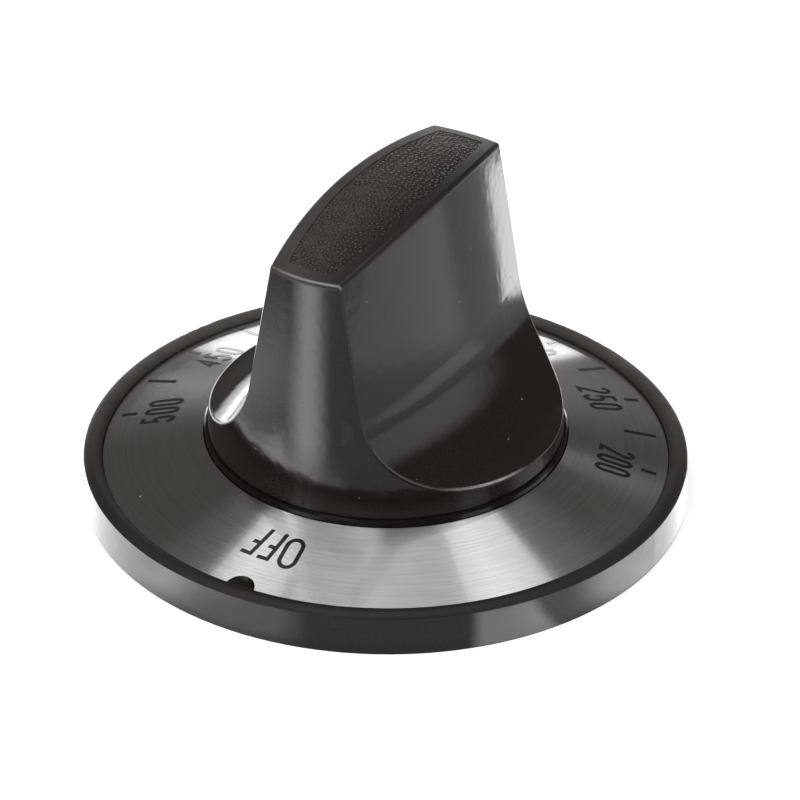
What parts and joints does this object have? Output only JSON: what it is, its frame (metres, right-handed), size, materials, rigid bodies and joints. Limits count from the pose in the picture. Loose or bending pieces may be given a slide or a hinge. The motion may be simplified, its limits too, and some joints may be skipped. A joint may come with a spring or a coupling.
{
  "type": "oven control knob",
  "caption": "Black moulded oven control knob: a grip blade between finger scoops on a round skirt, a brushed conical dial ring, and a D-shaped shaft socket with a leaf spring.",
  "frame": {"origin": "centre of the skirt's foot, on the shaft axis", "axes": "+Z along the shaft axis from the panel towards the user, -Y towards the OFF mark, +X square to the grip"},
  "size_m": [0.0636, 0.0636, 0.0353],
  "materials": {
    "black_moulding": "semi-gloss moulded, with a grained field on the crown",
    "brushed_dial": "circular brushed, with black printed marks",
    "spring_steel": "tempered, plain"
  },
  "bodies": {
    "root": {"knob_body": "black_moulding", "dial_plate": "brushed_dial", "shaft_spring": "spring_steel"}
  },
  "joints": []
}
